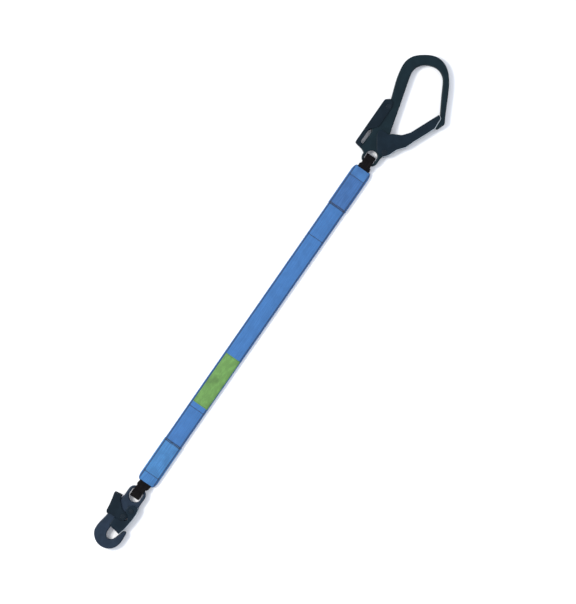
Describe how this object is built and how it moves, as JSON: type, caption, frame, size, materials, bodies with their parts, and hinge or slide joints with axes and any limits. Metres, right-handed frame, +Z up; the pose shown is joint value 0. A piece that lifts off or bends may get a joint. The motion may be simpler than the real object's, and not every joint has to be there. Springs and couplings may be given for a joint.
{
  "type": "shock absorbing lanyard",
  "caption": "Webbing lanyard with a full-length energy absorber, a large gated scaffold hook at one end and a small double-action snap hook at the other.",
  "frame": {"origin": "on the surface the lanyard lies on, under the middle of the box round the two hooks", "axes": "+X along the strap towards the large hook, +Y towards the large hook's lock lever, +Z up from the surface the lanyard lies flat on"},
  "size_m": [1.0676, 0.1224, 0.018],
  "materials": {
    "blue_webbing": "woven polyester",
    "core_webbing": "undyed woven polyester",
    "black_webbing": "woven polyester",
    "blue_thread": "bonded polyester thread",
    "green_label": "printed vinyl",
    "label_thread": "polyester thread",
    "forged_steel": "dark satin coating",
    "gate_steel": "dark satin coating",
    "lever_steel": "dark satin coating",
    "rivet_steel": "dark satin coating",
    "spring_steel": "drawn wire"
  },
  "bodies": {
    "strap": {"absorber_jacket": "blue_webbing", "tear_core": "core_webbing", "backup_web": "core_webbing", "small_end_sleeve": "blue_webbing", "large_end_sleeve": "blue_webbing", "small_load_loop": "black_webbing", "large_load_loop": "black_webbing", "small_wear_pad": "black_webbing", "large_wear_pad": "black_webbing", "small_end_stitching": "blue_thread", "large_end_stitching": "blue_thread", "data_label": "green_label", "label_stitching": "label_thread"},
    "large_hook": {"large_hook_body": "forged_steel", "large_gate_rivet": "rivet_steel", "large_gate_spring": "spring_steel", "large_lever_rivet": "rivet_steel", "large_lever_spring": "spring_steel"},
    "large_hook_gate": {"large_gate": "gate_steel"},
    "large_hook_lever": {"large_lock_lever": "lever_steel"},
    "small_hook": {"small_hook_body": "forged_steel", "small_gate_rivet": "rivet_steel", "small_gate_spring": "spring_steel", "small_lever_rivet": "rivet_steel", "small_lever_spring": "spring_steel"},
    "small_hook_gate": {"small_gate": "gate_steel"},
    "small_hook_lever": {"small_lock_lever": "lever_steel"}
  },
  "joints": [
    {"name": "large_hook_swing", "type": "hinge", "parent": "strap", "child": "large_hook", "pos_m": [0.30643, 0.01361, 0.0083], "axis": [0, 1, 0], "range_deg": [-90, 90]},
    {"name": "large_gate_open", "type": "hinge", "parent": "large_hook", "child": "large_hook_gate", "pos_m": [0.33793, -0.00149, 0.0083], "axis": [0, 0, 1], "range_deg": [0, 32], "stiffness_Nm_per_rad": 0.4, "springref_deg": -28.65},
    {"name": "large_lever_squeeze", "type": "hinge", "parent": "large_hook", "child": "large_hook_lever", "pos_m": [0.41043, 0.03911, 0.0083], "axis": [0, 0, 1], "range_deg": [0, 4], "stiffness_Nm_per_rad": 0.6, "springref_deg": -14.32},
    {"name": "small_hook_swing", "type": "hinge", "parent": "strap", "child": "small_hook", "pos_m": [-0.41017, 0.01361, 0.009], "axis": [0, 1, 0], "range_deg": [-90, 90]},
    {"name": "small_gate_open", "type": "hinge", "parent": "small_hook", "child": "small_hook_gate", "pos_m": [-0.45117, 0.00361, 0.009], "axis": [0, 0, 1], "range_deg": [-21, 0], "stiffness_Nm_per_rad": 0.2, "springref_deg": 28.65},
    {"name": "small_lever_squeeze", "type": "hinge", "parent": "small_hook", "child": "small_hook_lever", "pos_m": [-0.46637, 0.01091, 0.009], "axis": [0, 0, 1], "range_deg": [-8, 0], "stiffness_Nm_per_rad": 0.2, "springref_deg": 20.05}
  ]
}
